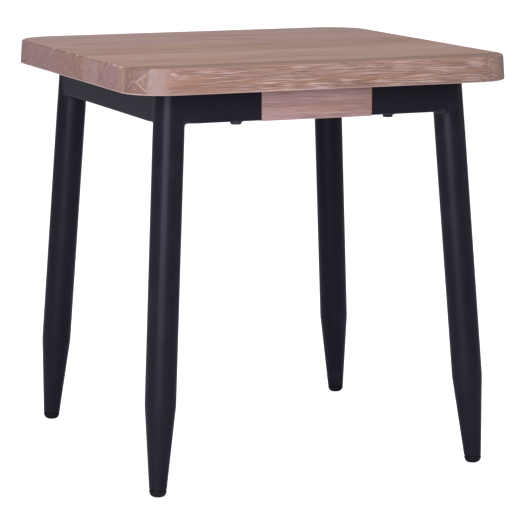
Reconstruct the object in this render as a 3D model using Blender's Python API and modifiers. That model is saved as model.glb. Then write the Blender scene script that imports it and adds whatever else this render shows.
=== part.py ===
"""Square bistro table: a glued stave top on a bolted and welded steel-tube frame with wood rail inserts.

Metres, +Z up, the front is towards -Y, and the origin is on the floor under the middle of the top.
"""

import math

import bmesh
import bpy
from mathutils import Vector

GAP = 0.0003

# The top: glued staves that run along X.
TABLE_HEIGHT = 0.737
TOP_SIDE = 0.711
TOP_THICKNESS = 0.0445
TOP_CORNER_RADIUS = 0.075
TOP_SOFT_EDGE = 0.010
TOP_DRAFT = 0.0025
TOP_LOWER_EDGE = 0.003
STAVE_SEAMS = (-0.337, -0.295, -0.160, -0.110, -0.079, -0.011, 0.072, 0.215)

# The frame.
UNDERSIDE = TABLE_HEIGHT - TOP_THICKNESS
FRAME_TOP = UNDERSIDE - GAP
RAIL_BOTTOM = 0.636
RAIL_HEIGHT = FRAME_TOP - RAIL_BOTTOM
RAIL_DEPTH = 0.040
RAIL_FACE = 0.287
RAIL_WALL = 0.002
RAIL_END = 0.254
RAIL_MIDDLE = RAIL_FACE - RAIL_DEPTH / 2

# The legs: splayed round tube with a tapered lower end.
LEG_AXIS_TOP = 0.260
LEG_AXIS_FLOOR = 0.303
LEG_RADIUS = 0.0271
LEG_WALL = 0.002
LEG_SEGMENTS = 40
TAPER_START = 0.1596
TAPER_RADIUS = 0.0151
CAP_SEAM = 0.012

# The wood rail inserts and the bolts that hold them.
WOOD_SHOULDER = 0.103
SOCKET_MOUTH = 0.1045
WOOD_DROP = 0.001
TENON_END = 0.165
BOLT_X = 0.143
BOLT_RADIUS = 0.005
BOLT_TIP = 0.660
HEX_ACROSS_FLATS = 0.017
HEX_HEIGHT = 0.0046
WASHER_RADIUS = 0.013
WASHER_THICKNESS = 0.0014
INSERT_RADIUS = 0.007
INSERT_LENGTH = 0.018

# The corner gussets and the screws into the top.
GUSSET_SIDE = 0.100
GUSSET_THICKNESS = 0.003
SCREW_NEAR = 0.190
SCREW_FAR = 0.228
SCREW_RADIUS = 0.00225
SCREW_HEAD_RADIUS = 0.0045
SCREW_HEAD_HEIGHT = 0.0026
SCREW_DEPTH = 0.028

CORNERS = {
    "front_left": (-1, -1),
    "front_right": (1, -1),
    "back_left": (-1, 1),
    "back_right": (1, 1),
}


def clear_scene():
    for obj in list(bpy.data.objects):
        bpy.data.objects.remove(obj, do_unlink=True)
    for collection in list(bpy.data.collections):
        bpy.data.collections.remove(collection)


def new_collection(name, hidden):
    collection = bpy.data.collections.new(name)
    bpy.context.scene.collection.children.link(collection)
    collection.hide_render = hidden
    return collection


clear_scene()
TABLE = new_collection("bistro_table", False)
CUTTERS = new_collection("cutters", True)


def material(name, colour, roughness, metallic):
    made = bpy.data.materials.new(name)
    made.use_nodes = True
    shader = made.node_tree.nodes["Principled BSDF"]
    shader.inputs["Base Color"].default_value = (*colour, 1.0)
    shader.inputs["Roughness"].default_value = roughness
    shader.inputs["Metallic"].default_value = metallic
    return made


def place(name, mesh, look=None):
    """An object of this mesh: a part of the table, or a hidden cutter when it has no look."""
    obj = bpy.data.objects.new(name, mesh)
    if look is None:
        CUTTERS.objects.link(obj)
        obj.hide_render = True
        obj.display_type = "WIRE"
    else:
        TABLE.objects.link(obj)
        colour, roughness, metallic = look
        mesh.materials.append(material(name, colour, roughness, metallic))
    return obj


def mesh_from(name, maker):
    mesh = bpy.data.meshes.new(name)
    shape = bmesh.new()
    maker(shape)
    bmesh.ops.recalc_face_normals(shape, faces=shape.faces)
    shape.to_mesh(mesh)
    shape.free()
    return mesh


def box(name, low, high, look=None):
    def maker(shape):
        made = bmesh.ops.create_cube(shape, size=1.0)
        for vertex in made["verts"]:
            for axis in range(3):
                middle = (low[axis] + high[axis]) / 2
                vertex.co[axis] = middle + vertex.co[axis] * (high[axis] - low[axis])

    return place(name, mesh_from(name, maker), look)


def rod(name, centre, radius, low, high, segments=24, look=None, turn=0.0):
    """An upright cylinder or prism round the point centre."""

    def maker(shape):
        made = bmesh.ops.create_cone(
            shape, cap_ends=True, segments=segments, radius1=radius, radius2=radius, depth=high - low
        )
        for vertex in made["verts"]:
            x, y, z = vertex.co
            vertex.co.x = centre[0] + x * math.cos(turn) - y * math.sin(turn)
            vertex.co.y = centre[1] + x * math.sin(turn) + y * math.cos(turn)
            vertex.co.z = z + (low + high) / 2

    return place(name, mesh_from(name, maker), look)


def turned(name, profile, segments, look=None):
    """A profile of (radius, height) points, closed on the axis or on itself, turned round Z."""
    mesh = bpy.data.meshes.new(name)
    points = [(radius, 0.0, height) for radius, height in profile]
    closed = profile[0][0] > 0.0
    edges = [(i, i + 1) for i in range(len(points) - 1)]
    if closed:
        edges.append((len(points) - 1, 0))
    mesh.from_pydata(points, edges, [])
    obj = place(name, mesh, look)
    screw = obj.modifiers.new("turn", "SCREW")
    screw.steps = segments
    screw.render_steps = segments
    screw.angle = math.tau
    screw.axis = "Z"
    screw.use_merge_vertices = True
    screw.merge_threshold = 0.00001
    return obj


def boolean(obj, other, operation):
    modifier = obj.modifiers.new(operation.lower(), "BOOLEAN")
    modifier.operation = operation
    modifier.solver = "EXACT"
    modifier.object = other


def rounded_square(half, radius, height, steps=9):
    points = []
    for quarter in range(4):
        turn = quarter * math.pi / 2
        middle = (half - radius) * math.sqrt(2)
        cx = middle * math.cos(turn + math.pi / 4)
        cy = middle * math.sin(turn + math.pi / 4)
        for step in range(steps + 1):
            angle = turn + step / steps * math.pi / 2
            points.append((cx + radius * math.cos(angle), cy + radius * math.sin(angle), height))
    return points


def top_levels():
    """(height, inset from the widest outline) from the lower face to the upper one."""
    levels = []
    for step in range(4):
        angle = step / 3 * math.pi / 2
        inset = TOP_LOWER_EDGE * (1 - math.sin(angle))
        levels.append((UNDERSIDE + TOP_LOWER_EDGE * (1 - math.cos(angle)), inset))
    for step in range(6):
        angle = step / 5 * math.pi / 2
        inset = TOP_DRAFT + TOP_SOFT_EDGE * (1 - math.cos(angle))
        levels.append((TABLE_HEIGHT - TOP_SOFT_EDGE * (1 - math.sin(angle)), inset))
    return levels


def slab_maker(shape):
    rings = []
    for height, inset in top_levels():
        half = TOP_SIDE / 2 - inset
        loop = rounded_square(half, TOP_CORNER_RADIUS - inset, height)
        rings.append([shape.verts.new(point) for point in loop])
    for lower, upper in zip(rings, rings[1:]):
        for i in range(len(lower)):
            j = (i + 1) % len(lower)
            shape.faces.new((lower[i], lower[j], upper[j], upper[i]))
    shape.faces.new(rings[-1])
    shape.faces.new(list(reversed(rings[0])))


OAK = (0.42, 0.31, 0.26)
WOOD = (OAK, 0.6, 0.0)
RAIL_WOOD = ((0.36, 0.25, 0.22), 0.6, 0.0)
STEEL = ((0.018, 0.017, 0.021), 0.42, 0.3)
ZINC = ((0.55, 0.55, 0.57), 0.35, 1.0)
BLACK_ZINC = ((0.03, 0.03, 0.035), 0.4, 0.8)
PLASTIC = ((0.012, 0.012, 0.013), 0.5, 0.0)


def add_top():
    slab = place("top_outline", mesh_from("top_outline", slab_maker))
    edges = (-TOP_SIDE, *STAVE_SEAMS, TOP_SIDE)
    for i in range(len(edges) - 1):
        low = (-TOP_SIDE, edges[i] + GAP / 2, UNDERSIDE - 0.01)
        high = (TOP_SIDE, edges[i + 1] - GAP / 2, TABLE_HEIGHT + 0.01)
        stave = box(f"top_stave_{i + 1}", low, high, WOOD)
        boolean(stave, slab, "INTERSECT")
        for place_name, (side_x, side_y) in CORNERS.items():
            for letter, x, y in screw_points(side_x, side_y):
                if edges[i] < y < edges[i + 1]:
                    pilot = rod(
                        f"pilot_{place_name}_{letter}",
                        (x, y),
                        SCREW_RADIUS + GAP,
                        UNDERSIDE - 0.01,
                        UNDERSIDE + SCREW_DEPTH + GAP,
                        16,
                    )
                    boolean(stave, pilot, "DIFFERENCE")


def screw_points(side_x, side_y):
    return (
        ("a", side_x * SCREW_FAR, side_y * SCREW_NEAR),
        ("b", side_x * SCREW_NEAR, side_y * SCREW_FAR),
    )


def leg_pose(obj, side_x, side_y):
    foot = Vector((side_x * LEG_AXIS_FLOOR, side_y * LEG_AXIS_FLOOR, 0.0))
    head = Vector((side_x * LEG_AXIS_TOP, side_y * LEG_AXIS_TOP, UNDERSIDE))
    obj.location = foot
    obj.rotation_mode = "QUATERNION"
    obj.rotation_quaternion = (head - foot).to_track_quat("Z", "Y")


def add_leg(where, side_x, side_y, above, below):
    inner_end = TAPER_RADIUS - LEG_WALL
    reach = UNDERSIDE + 0.02
    tube = turned(
        f"leg_{where}",
        (
            (LEG_RADIUS, reach),
            (LEG_RADIUS, TAPER_START),
            (TAPER_RADIUS, CAP_SEAM),
            (inner_end, CAP_SEAM),
            (LEG_RADIUS - LEG_WALL, TAPER_START),
            (LEG_RADIUS - LEG_WALL, reach),
        ),
        LEG_SEGMENTS,
        STEEL,
    )
    leg_pose(tube, side_x, side_y)
    boolean(tube, above, "DIFFERENCE")
    cap = turned(
        f"foot_cap_{where}",
        (
            (0.0, 0.034),
            (0.0105, 0.034),
            (0.0120, 0.032),
            (0.0120, CAP_SEAM - GAP),
            (0.0138, CAP_SEAM - GAP),
            (0.0141, 0.0100),
            (0.0137, 0.0060),
            (0.0122, 0.0028),
            (0.0096, 0.0006),
            (0.0062, -0.0006),
            (0.0, -0.0010),
        ),
        24,
        PLASTIC,
    )
    leg_pose(cap, side_x, side_y)
    boolean(cap, below, "DIFFERENCE")
    room = turned(
        f"leg_room_{where}",
        ((0.0, reach), (LEG_RADIUS + GAP, reach), (LEG_RADIUS + GAP, 0.4), (0.0, 0.4)),
        LEG_SEGMENTS,
    )
    leg_pose(room, side_x, side_y)
    return room


def rail_tube(name, low, high, axis):
    """A rectangular tube along the axis, open at both ends."""
    tube = box(name, low, high, STEEL)
    inner_low = [value + RAIL_WALL for value in low]
    inner_high = [value - RAIL_WALL for value in high]
    inner_low[axis] = low[axis] - 0.01
    inner_high[axis] = high[axis] + 0.01
    boolean(tube, box(f"bore_{name}", inner_low, inner_high), "DIFFERENCE")
    return tube


def add_side_rail(word, side_x, rooms):
    outer = side_x * RAIL_FACE
    inner = side_x * (RAIL_FACE - RAIL_DEPTH)
    low = (min(outer, inner), -RAIL_END, RAIL_BOTTOM)
    high = (max(outer, inner), RAIL_END, FRAME_TOP)
    rail = rail_tube(f"side_rail_{word}", low, high, 1)
    boolean(rail, rooms[f"front_{word}"], "DIFFERENCE")
    boolean(rail, rooms[f"back_{word}"], "DIFFERENCE")


def add_socket(where, side_x, side_y, room):
    outer = side_y * RAIL_FACE
    inner = side_y * (RAIL_FACE - RAIL_DEPTH)
    ends = sorted((side_x * SOCKET_MOUTH, side_x * RAIL_END))
    low = (ends[0], min(outer, inner), RAIL_BOTTOM)
    high = (ends[1], max(outer, inner), FRAME_TOP)
    socket = rail_tube(f"rail_socket_{where}", low, high, 0)
    boolean(socket, room, "DIFFERENCE")
    centre = (side_x * BOLT_X, side_y * RAIL_MIDDLE)
    hole = rod(f"bolt_hole_{where}", centre, BOLT_RADIUS + GAP, RAIL_BOTTOM - 0.01, RAIL_BOTTOM + 0.01)
    boolean(socket, hole, "DIFFERENCE")


def add_wood_rail(word, side_y):
    outer = side_y * RAIL_FACE
    inner = side_y * (RAIL_FACE - RAIL_DEPTH)
    rail = box(
        f"wood_rail_{word}",
        (-WOOD_SHOULDER, min(outer, inner), RAIL_BOTTOM - WOOD_DROP),
        (WOOD_SHOULDER, max(outer, inner), FRAME_TOP),
        RAIL_WOOD,
    )
    tenon_inset = RAIL_WALL + GAP
    tenon = box(
        f"tenon_{word}",
        (-TENON_END, min(outer, inner) + tenon_inset, RAIL_BOTTOM + tenon_inset),
        (TENON_END, max(outer, inner) - tenon_inset, FRAME_TOP - tenon_inset),
    )
    boolean(rail, tenon, "UNION")
    for side_x, hand in ((-1, "left"), (1, "right")):
        centre = (side_x * BOLT_X, side_y * RAIL_MIDDLE)
        start = RAIL_BOTTOM + tenon_inset
        pocket_end = start + INSERT_LENGTH + GAP
        pocket = rod(f"insert_pocket_{word}_{hand}", centre, INSERT_RADIUS + GAP, start - 0.01, pocket_end)
        boolean(rail, pocket, "DIFFERENCE")
        tip = rod(f"bolt_tip_room_{word}_{hand}", centre, BOLT_RADIUS + GAP, start, BOLT_TIP + 0.002)
        boolean(rail, tip, "DIFFERENCE")


def add_bolt(where, side_x, side_y):
    centre = (side_x * BOLT_X, side_y * RAIL_MIDDLE)
    start = RAIL_BOTTOM + RAIL_WALL + GAP
    insert = rod(f"rail_insert_{where}", centre, INSERT_RADIUS, start, start + INSERT_LENGTH, look=ZINC)
    thread = rod(f"insert_thread_{where}", centre, BOLT_RADIUS + GAP, start - 0.01, start + 0.05)
    boolean(insert, thread, "DIFFERENCE")
    washer_top = RAIL_BOTTOM - GAP
    washer_low = washer_top - WASHER_THICKNESS
    washer = rod(f"rail_washer_{where}", centre, WASHER_RADIUS, washer_low, washer_top, 28, look=BLACK_ZINC)
    hole = rod(f"washer_hole_{where}", centre, BOLT_RADIUS + GAP, washer_low - 0.01, washer_top + 0.01)
    boolean(washer, hole, "DIFFERENCE")
    head_top = washer_low - GAP
    turn = math.radians(12) if side_x < 0 else math.radians(-22)
    bolt = rod(
        f"rail_bolt_{where}",
        centre,
        HEX_ACROSS_FLATS / math.sqrt(3),
        head_top - HEX_HEIGHT,
        head_top,
        6,
        look=BLACK_ZINC,
        turn=turn,
    )
    shank = rod(f"bolt_shank_{where}", centre, BOLT_RADIUS, head_top - HEX_HEIGHT / 2, BOLT_TIP)
    boolean(bolt, shank, "UNION")


def add_gusset(where, side_x, side_y, room):
    """A triangular plate in the inner corner of the rails, flush with the top of the frame."""
    near = RAIL_FACE - RAIL_DEPTH - GAP
    far = near - GUSSET_SIDE
    corners = ((near, near), (far, near), (near, far))

    def maker(shape):
        low = [shape.verts.new((side_x * x, side_y * y, FRAME_TOP - GUSSET_THICKNESS)) for x, y in corners]
        high = [shape.verts.new((side_x * x, side_y * y, FRAME_TOP)) for x, y in corners]
        shape.faces.new(low)
        shape.faces.new(high)
        for i in range(3):
            j = (i + 1) % 3
            shape.faces.new((low[i], low[j], high[j], high[i]))

    name = f"corner_gusset_{where}"
    plate = place(name, mesh_from(name, maker), STEEL)
    boolean(plate, room, "DIFFERENCE")
    for letter, x, y in screw_points(side_x, side_y):
        hole = rod(
            f"gusset_hole_{where}_{letter}",
            (x, y),
            SCREW_RADIUS + GAP,
            FRAME_TOP - 0.01,
            FRAME_TOP + 0.01,
            16,
        )
        boolean(plate, hole, "DIFFERENCE")
        head_top = FRAME_TOP - GUSSET_THICKNESS - GAP
        screw = turned(
            f"top_screw_{where}_{letter}",
            (
                (0.0, UNDERSIDE + SCREW_DEPTH),
                (SCREW_RADIUS, UNDERSIDE + SCREW_DEPTH - 0.005),
                (SCREW_RADIUS, head_top),
                (SCREW_HEAD_RADIUS, head_top),
                (SCREW_HEAD_RADIUS, head_top - SCREW_HEAD_HEIGHT * 0.45),
                (SCREW_HEAD_RADIUS * 0.7, head_top - SCREW_HEAD_HEIGHT * 0.9),
                (0.0, head_top - SCREW_HEAD_HEIGHT),
            ),
            16,
            ZINC,
        )
        screw.location = (x, y, 0.0)


def build():
    add_top()
    far = 1.0
    above = box("above_frame", (-far, -far, FRAME_TOP), (far, far, far))
    below = box("below_floor", (-far, -far, -0.1), (far, far, 0.0))
    rooms = {}
    for where, (side_x, side_y) in CORNERS.items():
        rooms[where] = add_leg(where, side_x, side_y, above, below)
        add_socket(where, side_x, side_y, rooms[where])
        add_bolt(where, side_x, side_y)
        add_gusset(where, side_x, side_y, rooms[where])
    add_side_rail("left", -1, rooms)
    add_side_rail("right", 1, rooms)
    add_wood_rail("front", -1)
    add_wood_rail("back", 1)


build()
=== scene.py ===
"""Looks of a square bistro table: limed board top, welded black steel frame, bolted wood rail inserts."""

import math

import bpy
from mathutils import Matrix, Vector


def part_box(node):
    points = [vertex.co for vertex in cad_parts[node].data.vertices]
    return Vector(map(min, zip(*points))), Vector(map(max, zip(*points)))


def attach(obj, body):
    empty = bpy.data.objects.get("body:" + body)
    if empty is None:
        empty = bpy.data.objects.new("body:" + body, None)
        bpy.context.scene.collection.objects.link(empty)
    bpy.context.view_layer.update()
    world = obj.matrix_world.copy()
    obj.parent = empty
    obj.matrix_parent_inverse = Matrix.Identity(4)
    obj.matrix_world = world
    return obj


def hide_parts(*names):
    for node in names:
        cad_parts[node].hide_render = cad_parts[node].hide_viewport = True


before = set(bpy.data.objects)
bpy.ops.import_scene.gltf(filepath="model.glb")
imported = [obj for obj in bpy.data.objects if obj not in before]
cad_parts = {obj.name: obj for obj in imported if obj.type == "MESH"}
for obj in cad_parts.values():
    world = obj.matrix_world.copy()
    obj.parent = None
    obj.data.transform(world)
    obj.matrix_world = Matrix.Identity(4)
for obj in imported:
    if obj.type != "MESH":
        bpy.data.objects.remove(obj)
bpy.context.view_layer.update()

# The top, in metres.
UNDERSIDE = 0.6925
TABLE_HEIGHT = 0.737
TOP_HALF = 0.3555
TOP_DRAFT = 0.0025
CORNER_RADIUS = 0.075
UPPER_ARRIS = 0.0042
LOWER_ARRIS = 0.003
SEAMS = (-0.337, -0.295, -0.160, -0.110, -0.079, -0.011, 0.072, 0.215)
GLUE_LINE = 0.00006

# The wood rail inserts and their tenons.
INSERT_HALF = 0.103
INSERT_ROUND = 0.0009
INSERT_END_REACH = 0.002
TENON_INSET = 0.0026
TENON_LENGTH = 0.060

# The side rails and the rail sockets.
FRAME_TOP = 0.6922
RAIL_BOTTOM = 0.636
RAIL_FACE = 0.287
RAIL_DEPTH = 0.040
RAIL_INNER = RAIL_FACE - RAIL_DEPTH
RAIL_ROUND = 0.003
TUBE_WALL = 0.002
SOCKET_END = 0.1045
MOUTH_FROM = 0.090
MOUTH_TO = 0.170

# The legs: their line at the underside of the top and at the floor, their shape, and the welds,
# whose rough solids run on past the planes that trim them.
LEG_TOP = 0.260
LEG_FLOOR = 0.303
LEG_RADIUS = 0.0271
LEG_SIDES = 96
TAPER_START = 0.1596
TAPER_RADIUS = 0.0154
CAP_SEAM = 0.0130
WELD_REACH = 0.222
LEG_SPLIT = 0.585
STUB_START = 0.262
WELD_WIDTH = 0.016
WELD_DROP = 0.030
WELD_VOXEL = 0.0013
ROUGH_TOP = 0.75
SPARE = 0.03

# The bolts under the sockets.
BOLT_TOP = 0.6340
HEAD_HEIGHT = 0.0046
HEAD_FLATS = 0.017
SHANK_RADIUS = 0.0050
SHANK_TOP = 0.660

# How near a plane or a line a point counts as on it.
CLOSE = 0.0001

# Which way each corner lies from the middle, along X and along Y.
CORNERS = {
    "front_left": (-1, -1),
    "front_right": (1, -1),
    "back_left": (-1, 1),
    "back_right": (1, 1),
}


# ---------------------------------------------------------------- camera, light, floor


CAMERA_PLACE = (-1.6357, -3.9993, 1.1114)
CAMERA_DOWN = 10.15
CAMERA_TURN = -22.42
LENS = 163.19
TABLE_MIDDLE = (0.0, 0.0, 0.60)


def add_camera():
    data = bpy.data.cameras.new("camera")
    data.lens = LENS
    data.sensor_width = 36.0
    data.clip_end = 100.0
    camera = bpy.data.objects.new("camera", data)
    bpy.context.scene.collection.objects.link(camera)
    camera.location = CAMERA_PLACE
    camera.rotation_euler = (math.radians(90.0 - CAMERA_DOWN), 0.0, math.radians(CAMERA_TURN))
    bpy.context.scene.camera = camera


def softbox(name, place, aim, width, height, power, colour):
    data = bpy.data.lights.new(name, "AREA")
    data.shape = "RECTANGLE"
    data.size = width
    data.size_y = height
    data.energy = power
    data.color = colour
    light = bpy.data.objects.new(name, data)
    bpy.context.scene.collection.objects.link(light)
    light.location = place
    light.rotation_euler = (Vector(aim) - Vector(place)).to_track_quat("-Z", "Y").to_euler()


def light_studio():
    world = bpy.data.worlds.new("studio")
    bpy.context.scene.world = world
    world.use_nodes = True
    backdrop = world.node_tree.nodes["Background"]
    backdrop.inputs["Color"].default_value = (0.93, 0.92, 1.0, 1.0)
    backdrop.inputs["Strength"].default_value = 0.52
    softbox("left_strip", (-2.10, -2.15, 1.20), TABLE_MIDDLE, 0.50, 1.75, 60.0, (0.86, 0.84, 1.0))
    softbox("soft_strip", (-1.38, -2.80, 1.20), TABLE_MIDDLE, 0.60, 1.75, 48.0, (0.90, 0.88, 1.0))
    softbox("right_fill", (3.20, -1.60, 1.30), TABLE_MIDDLE, 1.30, 1.80, 9.0, (1.0, 0.98, 0.95))
    softbox("overhead", (0.0, 0.2, 3.2), (0.0, 0.0, 0.70), 2.8, 2.8, 48.0, (1.0, 0.99, 0.96))
    bpy.context.scene.view_settings.view_transform = "Standard"


def add_floor():
    """A plain floor that reads as white and throws back only part of the light."""
    bpy.ops.mesh.primitive_plane_add(size=80.0, location=(0.0, 0.0, 0.0))
    floor = bpy.context.object
    floor.name = "studio_floor"
    paint = bpy.data.materials.new("floor_paint")
    paint.use_nodes = True
    nodes = paint.node_tree.nodes
    shader = nodes["Principled BSDF"]
    shader.inputs["Base Color"].default_value = (0.60, 0.60, 0.68, 1.0)
    shader.inputs["Roughness"].default_value = 1.0
    shader.inputs["Specular IOR Level"].default_value = 0.0
    shader.inputs["Emission Color"].default_value = (1.0, 1.0, 1.0, 1.0)
    path = nodes.new("ShaderNodeLightPath")
    glow = nodes.new("ShaderNodeMath")
    glow.operation = "MULTIPLY"
    glow.inputs[1].default_value = 0.88
    paint.node_tree.links.new(path.outputs["Is Camera Ray"], glow.inputs[0])
    paint.node_tree.links.new(glow.outputs[0], shader.inputs["Emission Strength"])
    floor.data.materials.append(paint)


# ---------------------------------------------------------------- shader building


class Graph:
    """A node tree with short calls for the nodes used here."""

    def __init__(self, tree):
        self.tree = tree

    def node(self, kind, **settings):
        made = self.tree.nodes.new(kind)
        for key, value in settings.items():
            setattr(made, key, value)
        return made

    def put(self, socket, value):
        if isinstance(value, bpy.types.NodeSocket):
            self.tree.links.new(value, socket)
        elif value is not None:
            socket.default_value = value

    def math(self, operation, a, b=None, clamp=False):
        made = self.node("ShaderNodeMath", operation=operation, use_clamp=clamp)
        self.put(made.inputs[0], a)
        self.put(made.inputs[1], b)
        return made.outputs[0]

    def mix(self, factor, a, b, blend="MIX"):
        made = self.node("ShaderNodeMix", data_type="RGBA", blend_type=blend)
        self.put(made.inputs[0], factor)
        self.put(made.inputs[6], a)
        self.put(made.inputs[7], b)
        return made.outputs[2]

    def times(self, a, b, clamp=False):
        return self.math("MULTIPLY", a, b, clamp)

    def stretch(self, vector, scale):
        made = self.node("ShaderNodeMapping")
        self.put(made.inputs["Vector"], vector)
        self.put(made.inputs["Scale"], scale)
        return made.outputs["Vector"]

    def noise(self, vector, scale, detail, roughness, seed):
        made = self.node("ShaderNodeTexNoise", noise_dimensions="4D")
        self.put(made.inputs["Vector"], vector)
        self.put(made.inputs["Scale"], scale)
        self.put(made.inputs["Detail"], detail)
        self.put(made.inputs["Roughness"], roughness)
        self.put(made.inputs["W"], seed)
        return made.outputs[0]

    def ease(self, value, low, high, out_low=0.0, out_high=1.0):
        made = self.node("ShaderNodeMapRange", interpolation_type="SMOOTHSTEP")
        numbers = {"Value": value, "From Min": low, "From Max": high, "To Min": out_low, "To Max": out_high}
        for name, number in numbers.items():
            self.put(made.inputs[name], number)
        return made.outputs[0]

    def parts(self, vector):
        made = self.node("ShaderNodeSeparateXYZ")
        self.put(made.inputs[0], vector)
        return made.outputs

    def joined(self, x, y, z):
        made = self.node("ShaderNodeCombineXYZ")
        for socket, value in zip(made.inputs, (x, y, z)):
            self.put(socket, value)
        return made.outputs[0]


def new_group(name, inputs, outputs):
    """A shader node group: its graph, the sockets it is given and the sockets it puts out."""
    tree = bpy.data.node_groups.new(name, "ShaderNodeTree")
    for label, kind, value in inputs:
        socket = tree.interface.new_socket(name=label, in_out="INPUT", socket_type=kind)
        if value is not None:
            socket.default_value = value
    for label, kind in outputs:
        tree.interface.new_socket(name=label, in_out="OUTPUT", socket_type=kind)
    graph = Graph(tree)
    return graph, graph.node("NodeGroupInput").outputs, graph.node("NodeGroupOutput").inputs


FLOAT = "NodeSocketFloat"
COLOUR = "NodeSocketColor"
VECTOR = "NodeSocketVector"


def limed_wood_group():
    """Wood that runs along X round a pith line, brushed and limed, with a painted sheen, painted highlight
    and painted light: colour, roughness and height.
    """
    graph, given, result = new_group(
        "limed_wood",
        (
            ("Place", VECTOR, None),
            ("Facing", VECTOR, None),
            ("Pith Y", FLOAT, 0.0),
            ("Pith Z", FLOAT, 0.7),
            ("Height Stretch", FLOAT, 0.75),
            ("Flame", FLOAT, 0.0),
            ("Heart Size", FLOAT, 0.0),
            ("Rings Per Metre", FLOAT, 110.0),
            ("Seed", FLOAT, 0.0),
            ("Body", COLOUR, (0.4, 0.27, 0.24, 1.0)),
            ("Dark", COLOUR, (0.26, 0.16, 0.13, 1.0)),
            ("Warm", COLOUR, (0.42, 0.25, 0.17, 1.0)),
            ("Heart", COLOUR, (0.285, 0.180, 0.180, 1.0)),
            ("Rim", COLOUR, (0.170, 0.105, 0.105, 1.0)),
            ("Lime", COLOUR, (0.550, 0.425, 0.355, 1.0)),
            # The colour of the painted sheen on the front left corner.
            ("Corner", COLOUR, (0.250, 0.198, 0.174, 1.0)),
            ("Lime Amount", FLOAT, 0.5),
            ("Figure", FLOAT, 0.5),
            # How much painted sheen the front left corner gets.
            ("Corner Sheen", FLOAT, 0.0),
        ),
        (("Color", COLOUR), ("Roughness", FLOAT), ("Height", FLOAT)),
    )
    place, seed = given["Place"], given["Seed"]
    facing = graph.parts(given["Facing"])
    x, y, z = graph.parts(place)
    end_grain = graph.ease(graph.math("ABSOLUTE", facing[0]), 0.35, 0.92)
    front = graph.ease(graph.math("ABSOLUTE", facing[1]), 0.35, 0.9)

    def grain(scale, detail, roughness, shift):
        stretched = graph.stretch(place, scale)
        return graph.noise(stretched, 1.0, detail, roughness, graph.math("ADD", seed, shift))

    def even_grain(scale, detail, roughness, shift):
        return grain((scale, scale, scale), detail, roughness, shift)

    # Growth rings round a pith line that wanders more the further it is from the left end.
    settle = graph.ease(x, -0.33, 0.05, 0.10, 1.0)
    drift = graph.math("SUBTRACT", grain((1.6, 3.0, 3.0), 2.0, 0.5, 0.0), 0.5)
    drift = graph.times(graph.times(drift, 0.060), settle)
    wobble = graph.math("SUBTRACT", grain((6.0, 55.0, 55.0), 2.0, 0.5, 0.0), 0.5)
    wobble = graph.times(graph.times(wobble, 0.012), graph.ease(settle, 0.0, 1.0, 0.45, 1.0))
    off_y = graph.math("ADD", graph.math("SUBTRACT", y, given["Pith Y"]), drift)
    off_z = graph.math("ADD", graph.math("SUBTRACT", z, given["Pith Z"]), wobble)
    off_z = graph.times(off_z, given["Height Stretch"])
    circle = graph.node("ShaderNodeVectorMath", operation="LENGTH")
    graph.put(circle.inputs[0], graph.joined(0.0, off_y, off_z))
    diamond = graph.math("ADD", graph.math("ABSOLUTE", off_y), graph.math("ABSOLUTE", off_z))
    reach = graph.node("ShaderNodeMix", data_type="FLOAT")
    graph.put(reach.inputs[0], given["Flame"])
    graph.put(reach.inputs[2], circle.outputs["Value"])
    graph.put(reach.inputs[3], diamond)
    reach = reach.outputs[0]
    turns = graph.times(reach, given["Rings Per Metre"])
    wave = graph.math("FRACT", graph.math("ADD", turns, graph.times(wobble, 45.0)))
    ring = graph.times(graph.ease(wave, 0.55, 0.93), graph.ease(wave, 0.93, 1.0, 1.0, 0.0))
    ring = graph.times(ring, graph.ease(grain((2.5, 30.0, 30.0), 2.0, 0.5, 3.7), 0.25, 0.62))
    inside = graph.math("SUBTRACT", given["Heart Size"], reach)
    across = graph.ease(end_grain, 0.0, 1.0, 0.10, 1.0)
    heart = graph.times(graph.ease(inside, -0.001, 0.003), across)
    rim = graph.times(graph.ease(graph.math("ABSOLUTE", inside), 0.0009, 0.0028, 1.0, 0.0), across)

    # Long fibres, pores that hold the lime, where end grain shows, and the front left corner, where a
    # painted sheen takes the place of the grain.
    fibre = grain((12.0, 520.0, 640.0), 3.0, 0.65, 9.1)
    streak = grain((3.2, 55.0, 85.0), 3.0, 0.6, 5.3)
    pores = grain((21.0, 620.0, 640.0), 4.0, 0.62, 12.9)
    patch = grain((4.5, 14.0, 48.0), 2.0, 0.5, 21.3)
    tone = grain((4.5, 52.0, 60.0), 4.0, 0.62, 27.9)
    cross = even_grain(260.0, 3.0, 0.6, 31.7)
    fleck = graph.ease(even_grain(70.0, 2.0, 0.6, 40.1), 0.46, 0.62)
    leftward = graph.times(facing[0], -1.0)
    # Painted sheen: where the front left corner turns to face left, grain and lime give way to a paler,
    # plainer colour.
    corner = graph.times(graph.times(graph.ease(leftward, 0.10, 0.40), front), given["Corner Sheen"])
    long_grain = graph.times(graph.math("SUBTRACT", 1.0, end_grain), graph.math("SUBTRACT", 1.0, corner))

    # The wood itself: body, light and dark bands, heartwood, rings and dark lines of fibre.
    colour = graph.mix(graph.ease(streak, 0.36, 0.64), given["Body"], given["Warm"])
    shade = graph.ease(end_grain, 0.0, 1.0, 0.55, 0.25)
    colour = graph.mix(graph.times(graph.ease(tone, 0.50, 0.70), shade), colour, given["Dark"])
    light_band = graph.times(graph.ease(tone, 0.30, 0.50, 1.0, 0.0), graph.times(shade, 0.33))
    colour = graph.mix(light_band, colour, given["Lime"])
    colour = graph.mix(graph.times(heart, 0.55), colour, given["Heart"])
    colour = graph.mix(graph.times(ring, given["Figure"]), colour, given["Dark"])
    colour = graph.mix(graph.times(rim, 0.60), colour, given["Rim"])
    dark_line = graph.times(graph.ease(fibre, 0.46, 0.68), graph.ease(front, 0.0, 1.0, 0.38, 0.85))
    colour = graph.mix(graph.times(dark_line, long_grain), colour, given["Dark"])
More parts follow.
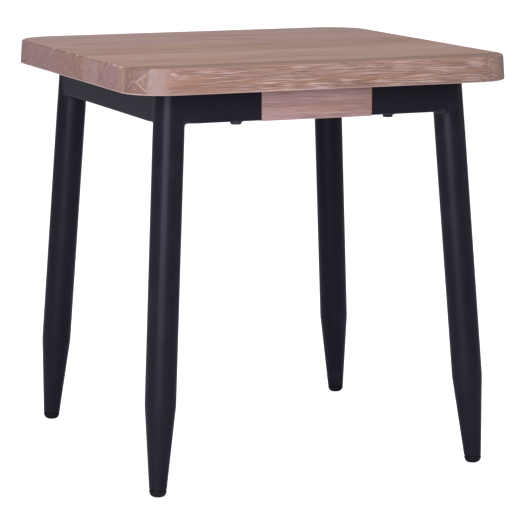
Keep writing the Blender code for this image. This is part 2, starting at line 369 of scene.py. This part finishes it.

    # The end grain: open and filled pores, darker on the left end, and painted light that makes the right
    # end paler.
    dark_pore = graph.times(graph.times(graph.ease(cross, 0.48, 0.75), end_grain), 0.30)
    colour = graph.mix(dark_pore, colour, given["Dark"])
    filled = graph.times(graph.ease(grain((190.0, 190.0, 120.0), 3.0, 0.65, 52.3), 0.50, 0.70), end_grain)
    colour = graph.mix(graph.times(filled, 0.34), colour, given["Lime"])
    left_end = graph.ease(leftward, 0.35, 0.92, 0.0, 0.85)
    colour = graph.mix(left_end, colour, (0.86, 0.82, 0.82, 1.0), "MULTIPLY")
    # Painted light: the right end is painted paler, toward the lime colour.
    painted_right_light = graph.ease(facing[0], 0.10, 0.55, 0.0, 0.16)
    colour = graph.mix(painted_right_light, colour, given["Lime"])
    # The painted sheen on the front left corner, mottled a little.
    mottle = graph.ease(even_grain(60.0, 3.0, 0.6, 71.0), 0.30, 0.70, 0.30, 0.75)
    colour = graph.mix(graph.times(corner, mottle), colour, given["Corner"])

    # The lime brushed into the pores.
    lime_spread = graph.times(graph.ease(patch, 0.20, 0.72), graph.ease(pores, 0.48, 0.63))
    where_limed = graph.times(graph.ease(front, 0.0, 1.0, 0.24, 1.0), long_grain)
    lime = graph.times(graph.times(lime_spread, where_limed), given["Lime Amount"], clamp=True)
    colour = graph.mix(lime, colour, given["Lime"])

    # The arrises: worn flecks along the upper one, which is darker where it is not flecked, and a painted
    # highlight along the lower one.
    upper = graph.times(graph.ease(facing[2], 0.25, 0.55), graph.ease(facing[2], 0.80, 0.98, 1.0, 0.0))
    down = graph.times(facing[2], -1.0)
    lower = graph.times(graph.ease(down, 0.15, 0.45), graph.ease(down, 0.85, 0.98, 1.0, 0.0))
    worn = graph.times(fleck, graph.ease(even_grain(9.0, 1.0, 0.5, 61.0), 0.42, 0.55))
    worn = graph.times(worn, graph.ease(end_grain, 0.0, 0.5, 0.25, 1.0))
    colour = graph.mix(graph.times(graph.times(upper, worn), 0.60), colour, given["Lime"])
    # Darker along the upper arris where it is not flecked, most on the end grain.
    upper_arris_dark = graph.times(upper, graph.math("SUBTRACT", 1.0, worn))
    upper_arris_dark = graph.times(upper_arris_dark, graph.ease(end_grain, 0.0, 0.5, 0.10, 0.90))
    colour = graph.mix(upper_arris_dark, colour, given["Dark"])
    # Painted highlight: the lower arris is painted pale, more so on the end grain.
    lower = graph.times(lower, graph.ease(end_grain, 0.0, 0.5, 0.45, 0.9))
    colour = graph.mix(lower, colour, given["Lime"])
    graph.put(result["Color"], colour)
    rough = graph.math("ADD", 0.58, graph.times(fibre, 0.18))
    graph.put(result["Roughness"], graph.math("ADD", rough, graph.times(lime, 0.10)))
    relief = graph.math("ADD", graph.times(fibre, -0.6), graph.times(ring, -0.5))
    graph.put(result["Height"], graph.math("ADD", relief, graph.times(pores, -0.5)))
    return graph.tree


def powder_coat_group():
    """Satin powder coat: fine orange peel, dust, and a painted highlight on roundings that face down."""
    graph, given, result = new_group(
        "powder_coat",
        (
            ("Place", VECTOR, None),
            ("Facing", VECTOR, None),
            ("Base", COLOUR, (0.0093, 0.0082, 0.0108, 1.0)),
            ("Dust", COLOUR, (0.03, 0.029, 0.036, 1.0)),
            # The colour of the painted highlight on roundings that face down.
            ("Edge", COLOUR, (0.036, 0.035, 0.042, 1.0)),
            ("Gloss Roughness", FLOAT, 0.30),
            ("Peel Size", FLOAT, 900.0),
        ),
        (("Color", COLOUR), ("Roughness", FLOAT), ("Height", FLOAT)),
    )
    place = given["Place"]
    peel = graph.noise(place, given["Peel Size"], 2.0, 0.5, 1.0)
    cloud = graph.noise(place, 14.0, 3.0, 0.6, 4.0)
    speck = graph.noise(place, 2600.0, 1.0, 0.5, 7.0)
    dust = graph.times(graph.ease(cloud, 0.45, 0.8), 0.18)
    dust = graph.math("ADD", dust, graph.times(graph.ease(speck, 0.66, 0.8), 0.35))
    down = graph.times(graph.parts(given["Facing"])[2], -1.0)
    # Painted highlight: roundings that face down are painted paler.
    painted_highlight = graph.times(graph.ease(down, 0.22, 0.50), graph.ease(down, 0.80, 0.97, 1.0, 0.0))
    painted_highlight = graph.times(painted_highlight, graph.ease(cloud, 0.25, 0.60, 0.45, 0.85))
    colour = graph.mix(dust, given["Base"], given["Dust"])
    graph.put(result["Color"], graph.mix(painted_highlight, colour, given["Edge"]))
    rough = graph.math("ADD", given["Gloss Roughness"], graph.times(cloud, 0.10))
    graph.put(result["Roughness"], rough)
    graph.put(result["Height"], peel)
    return graph.tree


def zinc_wear_group():
    """Turned or rolled zinc with fine scratches and dull spots."""
    graph, given, result = new_group(
        "zinc_wear",
        (
            ("Place", VECTOR, None),
            ("Base", COLOUR, (0.5, 0.5, 0.52, 1.0)),
            ("Dull", COLOUR, (0.3, 0.3, 0.31, 1.0)),
            ("Gloss Roughness", FLOAT, 0.3),
        ),
        (("Color", COLOUR), ("Roughness", FLOAT), ("Height", FLOAT)),
    )
    place = given["Place"]
    spots = graph.noise(place, 320.0, 4.0, 0.65, 2.0)
    scratch = graph.noise(graph.stretch(place, (400.0, 3000.0, 1500.0)), 1.0, 2.0, 0.5, 5.0)
    graph.put(result["Color"], graph.mix(graph.ease(spots, 0.4, 0.75), given["Base"], given["Dull"]))
    rough = graph.math("ADD", given["Gloss Roughness"], graph.times(spots, 0.25))
    graph.put(result["Roughness"], rough)
    graph.put(result["Height"], scratch)
    return graph.tree


LIMED_WOOD = limed_wood_group()
POWDER_COAT = powder_coat_group()
ZINC_WEAR = zinc_wear_group()

# What the dark grain keeps of the body colour, channel by channel.
DARK_SHARE = (0.58, 0.53, 0.52)


def material_of(name, group, values, relief, distance, **constants):
    """A Principled material fed by one of the groups, with its constants on the shader itself."""
    made = bpy.data.materials.new(name)
    made.use_nodes = True
    graph = Graph(made.node_tree)
    shader = made.node_tree.nodes["Principled BSDF"]
    coords = graph.node("ShaderNodeTexCoord")
    effect = graph.node("ShaderNodeGroup", node_tree=group)
    graph.put(effect.inputs["Place"], coords.outputs["Object"])
    if "Facing" in effect.inputs:
        graph.put(effect.inputs["Facing"], coords.outputs["Normal"])
    for label, value in values.items():
        graph.put(effect.inputs[label], value)
    graph.put(shader.inputs["Base Color"], effect.outputs["Color"])
    graph.put(shader.inputs["Roughness"], effect.outputs["Roughness"])
    bump = graph.node("ShaderNodeBump")
    graph.put(bump.inputs["Strength"], relief)
    graph.put(bump.inputs["Distance"], distance)
    graph.put(bump.inputs["Height"], effect.outputs["Height"])
    graph.put(shader.inputs["Normal"], bump.outputs["Normal"])
    for label, value in constants.items():
        graph.put(shader.inputs[label.replace("_", " ").title().replace("Ior", "IOR")], value)
    return made


def board_wood(name, pith, rings, seed, body, warm, lime, figure, **heartwood):
    """Limed wood for one board, its dark grain worked out from its body colour."""
    dark = tuple(channel * share for channel, share in zip(body, DARK_SHARE))
    values = {
        "Pith Y": pith[0],
        "Pith Z": pith[1],
        "Rings Per Metre": rings,
        "Seed": seed,
        "Body": (*body, 1.0),
        "Dark": (*dark, 1.0),
        "Warm": (*warm, 1.0),
        "Lime Amount": lime,
        "Figure": figure,
        "Heart Size": -1.0,
    }
    for label, value in heartwood.items():
        values[label.replace("_", " ").title()] = value
    return material_of(name, LIMED_WOOD, values, 0.35, 0.0006, specular_ior_level=0.22)


STEEL = material_of(
    "satin_black_coat",
    POWDER_COAT,
    {},
    0.12,
    0.0002,
    specular_ior_level=0.125,
    specular_tint=(0.84, 0.80, 1.0, 1.0),
)
BLACK_ZINC = material_of(
    "black_zinc",
    ZINC_WEAR,
    {"Base": (0.010, 0.010, 0.011, 1.0), "Dull": (0.028, 0.027, 0.029, 1.0), "Gloss Roughness": 0.28},
    0.15,
    0.0002,
    specular_ior_level=0.25,
)
ZINC = material_of("bright_zinc", ZINC_WEAR, {}, 0.15, 0.0002, metallic=1.0)
PLUG_PLASTIC = material_of(
    "plug_plastic",
    POWDER_COAT,
    {
        "Base": (0.007, 0.0066, 0.007, 1.0),
        "Dust": (0.04, 0.038, 0.038, 1.0),
        # The colour of the painted highlight on the dome, which faces down.
        "Edge": (0.012, 0.0115, 0.012, 1.0),
        "Gloss Roughness": 0.42,
        "Peel Size": 500.0,
    },
    0.2,
    0.0003,
    specular_ior_level=0.12,
)


# ---------------------------------------------------------------- modelling helpers


def deselect():
    bpy.ops.object.select_all(action="DESELECT")


def only(obj):
    deselect()
    obj.select_set(True)
    bpy.context.view_layer.objects.active = obj


def clear_selection(obj, mode):
    """Nothing of this object selected, in vertex, edge or face mode, and edit mode left again."""
    only(obj)
    bpy.ops.object.mode_set(mode="EDIT")
    bpy.ops.mesh.select_mode(type=mode)
    bpy.ops.mesh.select_all(action="DESELECT")
    bpy.ops.object.mode_set(mode="OBJECT")


def pick_points(obj, test):
    """Selects the vertices whose place passes the test and opens edit mode."""
    clear_selection(obj, "VERT")
    for vertex in obj.data.vertices:
        vertex.select = test(vertex.co)
    bpy.ops.object.mode_set(mode="EDIT")


def pick_edges(obj, test):
    """Selects the edges whose two ends pass the test and opens edit mode."""
    clear_selection(obj, "EDGE")
    points = obj.data.vertices
    for line in obj.data.edges:
        line.select = test(points[line.vertices[0]].co, points[line.vertices[1]].co)
    bpy.ops.object.mode_set(mode="EDIT")


def pick_faces(obj, test):
    """Selects the faces whose middle and normal pass the test and opens edit mode."""
    clear_selection(obj, "FACE")
    for face in obj.data.polygons:
        face.select = test(face.center, face.normal)
    bpy.ops.object.mode_set(mode="EDIT")


def leave_edit():
    bpy.ops.object.mode_set(mode="OBJECT")


def block(name, low, high):
    """A box between two corners, its place in its mesh."""
    deselect()
    middle = [(a + b) / 2 for a, b in zip(low, high)]
    bpy.ops.mesh.primitive_cube_add(size=1.0, location=middle)
    made = bpy.context.object
    made.name = name
    made.scale = [b - a for a, b in zip(low, high)]
    bpy.ops.object.transform_apply(location=True, rotation=True, scale=True)
    return made


def turned(name, profile, vertices):
    """A closed turned solid: a disc at the first (radius, height), drawn up through the others."""
    deselect()
    radius, height = profile[0]
    bpy.ops.mesh.primitive_circle_add(
        vertices=vertices, radius=radius, fill_type="NGON", location=(0.0, 0.0, height)
    )
    made = bpy.context.object
    made.name = name
    bpy.ops.object.transform_apply(location=True, rotation=True, scale=True)
    bpy.ops.object.mode_set(mode="EDIT")
    bpy.ops.mesh.select_all(action="SELECT")
    for wider, higher in profile[1:]:
        bpy.ops.mesh.extrude_region_move(TRANSFORM_OT_translate={"value": (0.0, 0.0, higher - height)})
        ratio = wider / radius
        bpy.ops.transform.resize(value=(ratio, ratio, 1.0), center_override=(0.0, 0.0, higher))
        radius, height = wider, higher
    bpy.ops.mesh.select_all(action="SELECT")
    bpy.ops.mesh.normals_make_consistent(inside=False)
    leave_edit()
    return made


def modify(obj, kind, **settings):
    """Adds a modifier with these settings and applies it."""
    only(obj)
    added = obj.modifiers.new(kind.lower(), kind)
    for key, value in settings.items():
        setattr(added, key, value)
    bpy.ops.object.modifier_apply(modifier=added.name)


def combine(obj, other, operation):
    modify(obj, "BOOLEAN", operation=operation, solver="EXACT", object=other)
    bpy.data.objects.remove(other, do_unlink=True)


def copy_of(obj, name):
    made = obj.copy()
    made.data = obj.data.copy()
    made.name = name
    made.data.name = name
    bpy.context.scene.collection.objects.link(made)
    return made


def cut(obj, point, normal):
    """Bisects the solid at a plane, drops the side that the normal points to and closes it."""
    clear_selection(obj, "VERT")
    bpy.ops.object.mode_set(mode="EDIT")
    bpy.ops.mesh.select_all(action="SELECT")
    bpy.ops.mesh.bisect(plane_co=point, plane_no=normal, use_fill=True, clear_outer=True, threshold=0.000001)
    leave_edit()


def mirror_to(obj, side_x, side_y):
    """Turns a left front piece into the one at another corner."""
    only(obj)
    obj.scale = (-side_x, -side_y, 1.0)
    bpy.ops.object.transform_apply(location=False, rotation=False, scale=True)
    bpy.ops.object.mode_set(mode="EDIT")
    bpy.ops.mesh.select_all(action="SELECT")
    bpy.ops.mesh.normals_make_consistent(inside=False)
    leave_edit()


def smooth(obj, degrees):
    only(obj)
    bpy.ops.object.shade_smooth_by_angle(angle=math.radians(degrees))


def hand_over(obj, material, node):
    """The finished piece gets its material, stands for its CAD node and rides on the table."""
    obj.data.materials.clear()
    obj.data.materials.append(material)
    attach(obj, "root")
    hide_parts(node)


# ---------------------------------------------------------------- the top


def slab():
    """The whole top in one: sides that lean out a little, round corners, a soft upper arris."""
    made = block("top_slab", (-TOP_HALF, -TOP_HALF, UNDERSIDE), (TOP_HALF, TOP_HALF, TABLE_HEIGHT))
    lean = (TOP_HALF - TOP_DRAFT) / TOP_HALF
    pick_points(made, lambda co: co.z > TABLE_HEIGHT - CLOSE)
    bpy.ops.transform.resize(value=(lean, lean, 1.0), center_override=(0.0, 0.0, TABLE_HEIGHT))
    leave_edit()
    pick_edges(made, lambda a, b: abs(a.z - b.z) > CLOSE)
    bpy.ops.mesh.bevel(offset=CORNER_RADIUS, segments=28, profile=0.5, affect="EDGES")
    leave_edit()
    pick_edges(made, lambda a, b: min(a.z, b.z) > TABLE_HEIGHT - CLOSE)
    bpy.ops.mesh.bevel(offset=UPPER_ARRIS, segments=6, profile=0.5, affect="EDGES")
    leave_edit()
    pick_edges(made, lambda a, b: max(a.z, b.z) < UNDERSIDE + CLOSE)
    bpy.ops.mesh.bevel(offset=LOWER_ARRIS, segments=4, profile=0.5, affect="EDGES")
    leave_edit()
    return made


FRONT_BROWN = (0.236, 0.145, 0.108)
FRONT_AMBER = (0.256, 0.140, 0.083)
FLAME_BROWN = (0.196, 0.126, 0.102)
FLAME_AMBER = (0.216, 0.132, 0.093)
MAUVE = (0.292, 0.192, 0.166)
PINK = (0.325, 0.212, 0.178)
PALE = (0.345, 0.232, 0.196)
TAN = (0.318, 0.192, 0.130)
OVAL_HEART = {"heart_size": 0.0365, "height_stretch": 1.6}
FLAME_HEART = {
    "heart_size": 0.031,
    "flame": 1.0,
    "height_stretch": 1.0,
    "heart": (0.232, 0.140, 0.094, 1.0),
    "rim": (0.430, 0.310, 0.235, 1.0),
}
BOARDS = (
    # From front to back: pith, rings a metre, seed, body, warm, lime, figure, heartwood and the painted
    # corner sheen.
    ((-0.480, 0.640), 60.0, 1.3, FRONT_BROWN, FRONT_AMBER, 0.74, 0.30, {"corner_sheen": 1.0}),
    ((-0.352, 0.7145), 170.0, 2.6, FLAME_BROWN, FLAME_AMBER, 0.45, 0.60, FLAME_HEART),
    ((-0.221, 0.7155), 83.0, 3.4, (0.312, 0.200, 0.168), TAN, 0.35, 0.50, OVAL_HEART),
    ((-0.150, 0.560), 60.0, 4.8, PALE, PINK, 0.35, 0.25, {}),
    ((-0.095, 0.600), 150.0, 5.1, PALE, TAN, 0.30, 0.35, {"height_stretch": 0.12}),
    ((-0.040, 0.745), 120.0, 6.2, (0.282, 0.180, 0.146), TAN, 0.40, 0.60, {"flame": 0.3}),
    ((0.030, 0.690), 105.0, 7.7, (0.285, 0.184, 0.150), TAN, 0.40, 0.50, {"flame": 0.2}),
    ((0.160, 0.640), 55.0, 8.9, MAUVE, PINK, 0.30, 0.28, {}),
    ((0.330, 0.600), 60.0, 9.5, MAUVE, PINK, 0.30, 0.25, {}),
)


def add_boards():
    """One piece for each stave, cut from the slab at the seams on both sides of it."""
    whole = slab()
    for i, (*figures, heartwood) in enumerate(BOARDS):
        board = copy_of(whole, f"top_board_{i + 1}")
        if i > 0:
            cut(board, (0.0, SEAMS[i - 1] + GLUE_LINE, 0.0), (0.0, -1.0, 0.0))
        if i < len(SEAMS):
            cut(board, (0.0, SEAMS[i] - GLUE_LINE, 0.0), (0.0, 1.0, 0.0))
        smooth(board, 30.0)
        wood = board_wood(f"board_wood_{i + 1}", *figures, **heartwood)
        hand_over(board, wood, f"top_stave_{i + 1}")
    bpy.data.objects.remove(whole, do_unlink=True)


# ---------------------------------------------------------------- the wood rail inserts


# Pith, rings a metre, seed, body, warm, lime and figure, as for the boards.
FRONT_INSERT = ((-0.300, 0.60), 95.0, 14.2, (0.318, 0.204, 0.175), (0.333, 0.189, 0.131), 0.42, 0.20)
BACK_INSERT = ((0.290, 0.59), 80.0, 17.6, (0.320, 0.205, 0.176), (0.333, 0.192, 0.136), 0.40, 0.25)


def add_wood_rails():
    """The two inserts, each with a tenon at both ends that goes into a rail socket."""
    low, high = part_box("wood_rail_front")
    middle = Vector((0.0, (low[1] + high[1]) / 2, (low[2] + high[2]) / 2))
    made = block("front_rail_insert", (-INSERT_HALF, low[1], low[2]), (INSERT_HALF, high[1], high[2]))
    pick_edges(made, lambda a, b: True)
    bpy.ops.mesh.bevel(offset=INSERT_ROUND, segments=3, profile=0.5, affect="EDGES")
    leave_edit()
    pick_faces(made, lambda centre, normal: abs(normal.x) > 0.99)
    bpy.ops.mesh.inset(thickness=TENON_INSET)
    leave_edit()
    for side in (-1, 1):
        pick_faces(
            made,
            lambda centre, normal: normal.x * side > 0.99
            and (Vector((0.0, *centre[1:])) - middle).length < INSERT_END_REACH,
        )
        bpy.ops.mesh.extrude_region_move(TRANSFORM_OT_translate={"value": (side * TENON_LENGTH, 0.0, 0.0)})
        leave_edit()
    smooth(made, 40.0)
    back = copy_of(made, "back_rail_insert")
    mirror_to(back, -1, 1)
    smooth(back, 40.0)
    front_wood = board_wood("front_insert_wood", *FRONT_INSERT)
    back_wood = board_wood("back_insert_wood", *BACK_INSERT)
    hand_over(made, front_wood, "wood_rail_front")
    hand_over(back, back_wood, "wood_rail_back")


# ---------------------------------------------------------------- the steel frame


def rounded_bar(name, low, high, axis):
    """A bar with its long edges rounded, as rolled tube has."""
    made = block(name, low, high)
    others = [i for i in range(3) if i != axis]
    pick_edges(made, lambda a, b: all(abs(a[i] - b[i]) < CLOSE for i in others))
    bpy.ops.mesh.bevel(offset=RAIL_ROUND, segments=6, profile=0.5, affect="EDGES")
    leave_edit()
    return made


def leg_line():
    """The left front leg's middle line, from the floor to the underside of the top."""
    foot = Vector((-LEG_FLOOR, -LEG_FLOOR, 0.0))
    head = Vector((-LEG_TOP, -LEG_TOP, UNDERSIDE))
    return foot, head


def lean_like_leg(obj):
    """Puts a piece turned round Z on the left front leg's line, with its height along the leg."""
    foot, head = leg_line()
    only(obj)
    obj.location = foot
    obj.rotation_mode = "QUATERNION"
    obj.rotation_quaternion = (head - foot).to_track_quat("Z", "Y")
    bpy.ops.object.transform_apply(location=True, rotation=True, scale=True)


def near_weld(co):
    """How much a point belongs to a weld: 1 on the line where the leg meets a rail, 0 away from it."""
    foot, head = leg_line()
    along = (head - foot).normalized()
    reach = Vector(co) - foot
    radial = (reach - along * reach.dot(along)).length
    gap = max(RAIL_BOTTOM - co.z, 0.0)
    inward = max(co.x - foot.x, co.y - foot.y, 0.0)
    if inward <= 0.0 or co.z > FRAME_TOP - RAIL_ROUND:
        return 0.0
    return max(0.0, 1.0 - abs(radial - LEG_RADIUS) / WELD_WIDTH) * max(0.0, 1.0 - gap / WELD_DROP)


def weld_corner():
    """The head of the left front leg with the ends of both rails welded on and ground smooth."""
    foot, top = leg_line()
    along = (top - foot).normalized()
    head = turned("leg_head", ((LEG_RADIUS, LEG_SPLIT - SPARE), (LEG_RADIUS, ROUGH_TOP)), LEG_SIDES)
    lean_like_leg(head)
    cut(head, (0.0, 0.0, FRAME_TOP), (0.0, 0.0, 1.0))
    stub_end = WELD_REACH - SPARE
    side = rounded_bar(
        "side_stub",
        (-RAIL_FACE, -STUB_START, RAIL_BOTTOM),
        (-RAIL_INNER, -stub_end, FRAME_TOP),
        1,
    )
    front = rounded_bar(
        "front_stub",
        (-STUB_START, -RAIL_FACE, RAIL_BOTTOM),
        (-stub_end, -RAIL_INNER, FRAME_TOP),
        0,
    )
    combine(head, side, "UNION")
    combine(head, front, "UNION")
    modify(head, "REMESH", mode="VOXEL", voxel_size=WELD_VOXEL)
    group = head.vertex_groups.new(name="weld")
    for vertex in head.data.vertices:
        weight = near_weld(vertex.co)
        if weight > 0.0:
            group.add([vertex.index], weight, "REPLACE")
    modify(head, "SMOOTH", factor=0.5, iterations=90, vertex_group="weld")
    modify(head, "SMOOTH", factor=0.35, iterations=2)
    cut(head, foot + along * LEG_SPLIT, -along)
    cut(head, (0.0, -WELD_REACH, 0.0), (0.0, 1.0, 0.0))
    cut(head, (-WELD_REACH, 0.0, 0.0), (1.0, 0.0, 0.0))
    head.vertex_groups.clear()
    return head


def add_legs():
    """Four legs, each a tapered shaft joined to the welded corner above it."""
    shaft = turned(
        "leg_shaft",
        (
            (TAPER_RADIUS - 0.0006, CAP_SEAM),
            (TAPER_RADIUS, CAP_SEAM + 0.0006),
            (TAPER_RADIUS + 0.00070, CAP_SEAM + 0.0094),
            (LEG_RADIUS - 0.00075, TAPER_START - 0.010),
            (LEG_RADIUS - 0.00026, TAPER_START - 0.004),
            (LEG_RADIUS - 0.00005, TAPER_START + 0.001),
            (LEG_RADIUS, TAPER_START + 0.006),
            (LEG_RADIUS, LEG_SPLIT),
        ),
        LEG_SIDES,
    )
    lean_like_leg(shaft)
    head = weld_corner()
    for where, (side_x, side_y) in CORNERS.items():
        leg = copy_of(shaft, f"welded_leg_{where}")
        crown = copy_of(head, "crown")
        mirror_to(leg, side_x, side_y)
        mirror_to(crown, side_x, side_y)
        smooth(crown, 40.0)
        smooth(leg, 30.0)
        only(leg)
        crown.select_set(True)
        bpy.ops.object.join()
        hand_over(leg, STEEL, f"leg_{where}")
    bpy.data.objects.remove(shaft, do_unlink=True)
    bpy.data.objects.remove(head, do_unlink=True)


def add_rails():
    """The side rails between the welds, and the four hollow sockets that hold the wood inserts."""
    left = rounded_bar(
        "left_side_rail",
        (-RAIL_FACE, -WELD_REACH, RAIL_BOTTOM),
        (-RAIL_INNER, WELD_REACH, FRAME_TOP),
        1,
    )
    smooth(left, 30.0)
    right = copy_of(left, "right_side_rail")
    mirror_to(right, 1, -1)
    smooth(right, 30.0)
    hand_over(left, STEEL, "side_rail_left")
    hand_over(right, STEEL, "side_rail_right")
    socket = rounded_bar(
        "rail_socket",
        (-WELD_REACH, -RAIL_FACE, RAIL_BOTTOM),
        (-SOCKET_END, -RAIL_INNER, FRAME_TOP),
        0,
    )
    mouth = rounded_bar(
        "socket_mouth",
        (-MOUTH_TO, -RAIL_FACE + TUBE_WALL, RAIL_BOTTOM + TUBE_WALL),
        (-MOUTH_FROM, -RAIL_INNER - TUBE_WALL, FRAME_TOP - TUBE_WALL),
        0,
    )
    combine(socket, mouth, "DIFFERENCE")
    for where, (side_x, side_y) in CORNERS.items():
        piece = copy_of(socket, f"steel_socket_{where}")
        mirror_to(piece, side_x, side_y)
        smooth(piece, 30.0)
        hand_over(piece, STEEL, f"rail_socket_{where}")
    bpy.data.objects.remove(socket, do_unlink=True)


# ---------------------------------------------------------------- bolts, washers, plugs, screws


def hex_bolt():
    """A low hex head that hangs under the rail, chamfered to a round face, with its shank above."""
    top = BOLT_TOP
    low = top - HEAD_HEIGHT
    head = turned(
        "bolt",
        (
            (0.0068, low),
            (0.0078, low + 0.0002),
            (0.0090, low + 0.0009),
            (0.0100, low + 0.0020),
            (0.0100, top),
            (SHANK_RADIUS, top + 0.0001),
            (SHANK_RADIUS, SHANK_TOP),
        ),
        48,
    )
    across_corners = HEAD_FLATS / math.sqrt(3)
    prism = turned("prism", ((across_corners, low - 0.002), (across_corners, top + 0.00005)), 6)
    shank = turned("shank_room", ((0.0052, top - 0.001), (0.0052, 0.67)), 32)
    combine(prism, shank, "UNION")
    combine(head, prism, "INTERSECT")
    return head


def add_bolts():
    """A hex bolt and a flat washer under each socket, each pair turned its own way."""
    bolt = hex_bolt()
    washer = turned(
        "washer",
        (
            (0.0121, 0.6343),
            (0.0128, 0.6345),
            (0.0130, 0.6349),
            (0.0130, 0.6354),
            (0.0127, 0.6357),
        ),
        56,
    )
    hole = turned("washer_hole", ((0.0053, 0.62), (0.0053, 0.65)), 32)
    combine(washer, hole, "DIFFERENCE")
    tightened = {"front_left": 12.0, "front_right": -22.0, "back_left": 31.0, "back_right": 5.0}
    for where, turn in tightened.items():
        low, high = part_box(f"rail_washer_{where}")
        middle = ((low[0] + high[0]) / 2, (low[1] + high[1]) / 2, 0.0)
        for original, name, node in (
            (bolt, f"hex_bolt_{where}", f"rail_bolt_{where}"),
            (washer, f"flat_washer_{where}", f"rail_washer_{where}"),
        ):
            piece = copy_of(original, name)
            only(piece)
            piece.rotation_euler = (0.0, 0.0, math.radians(turn))
            piece.location = middle
            bpy.ops.object.transform_apply(location=True, rotation=True, scale=True)
            smooth(piece, 25.0)
            hand_over(piece, BLACK_ZINC, node)
    bpy.data.objects.remove(bolt, do_unlink=True)
    bpy.data.objects.remove(washer, do_unlink=True)


def add_plugs():
    """Domed plugs pushed into the leg ends, cut off flat where they stand on the floor."""
    plug = turned(
        "plug",
        (
            (0.0045, -0.0012),
            (0.0080, -0.0005),
            (0.0112, 0.0012),
            (0.0135, 0.0036),
            (0.0148, 0.0066),
            (0.0152, 0.0094),
            (0.0152, 0.0107),
            (0.0148, 0.0113),
            (0.0120, 0.0114),
            (0.0120, 0.0300),
            (0.0108, 0.0335),
        ),
        64,
    )
    lean_like_leg(plug)
    cut(plug, (0.0, 0.0, 0.0), (0.0, 0.0, -1.0))
    for where, (side_x, side_y) in CORNERS.items():
        piece = copy_of(plug, f"foot_plug_{where}")
        mirror_to(piece, side_x, side_y)
        smooth(piece, 30.0)
        hand_over(piece, PLUG_PLASTIC, f"foot_cap_{where}")
    bpy.data.objects.remove(plug, do_unlink=True)


def add_screws():
    """Pan-head screws with a cross recess, up through the gussets into the top."""
    low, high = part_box("top_screw_front_left_a")
    screw = turned(
        "screw",
        (
            (0.0024, low[2]),
            (0.0036, low[2] + 0.0003),
            (0.0043, low[2] + 0.0009),
            (0.0045, low[2] + 0.0016),
            (0.0045, low[2] + 0.0026),
            (0.00225, low[2] + 0.0027),
            (0.00225, high[2] - 0.005),
            (0.0002, high[2]),
        ),
        32,
    )
    for quarter in (0.0, 90.0):
        slot = block("cross", (-0.0023, -0.0004, low[2] - 0.001), (0.0023, 0.0004, low[2] + 0.0014))
        only(slot)
        slot.rotation_euler = (0.0, 0.0, math.radians(quarter))
        bpy.ops.object.transform_apply(location=True, rotation=True, scale=True)
        combine(screw, slot, "DIFFERENCE")
    turn = 17.0
    for where in CORNERS:
        for letter in ("a", "b"):
            box_low, box_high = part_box(f"top_screw_{where}_{letter}")
            piece = copy_of(screw, f"pan_screw_{where}_{letter}")
            only(piece)
            turn += 41.0
            piece.rotation_euler = (0.0, 0.0, math.radians(turn))
            piece.location = ((box_low[0] + box_high[0]) / 2, (box_low[1] + box_high[1]) / 2, 0.0)
            bpy.ops.object.transform_apply(location=True, rotation=True, scale=True)
            smooth(piece, 30.0)
            hand_over(piece, ZINC, f"top_screw_{where}_{letter}")
    bpy.data.objects.remove(screw, do_unlink=True)


def finish_carried_nodes():
    """The gussets and the threaded inserts keep their CAD shape and get a finish."""
    for where in CORNERS:
        for node, material in ((f"corner_gusset_{where}", STEEL), (f"rail_insert_{where}", ZINC)):
            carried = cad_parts[node]
            carried.data.materials.clear()
            carried.data.materials.append(material)


add_camera()
light_studio()
add_floor()
add_boards()
add_wood_rails()
add_legs()
add_rails()
add_bolts()
add_plugs()
add_screws()
finish_carried_nodes()
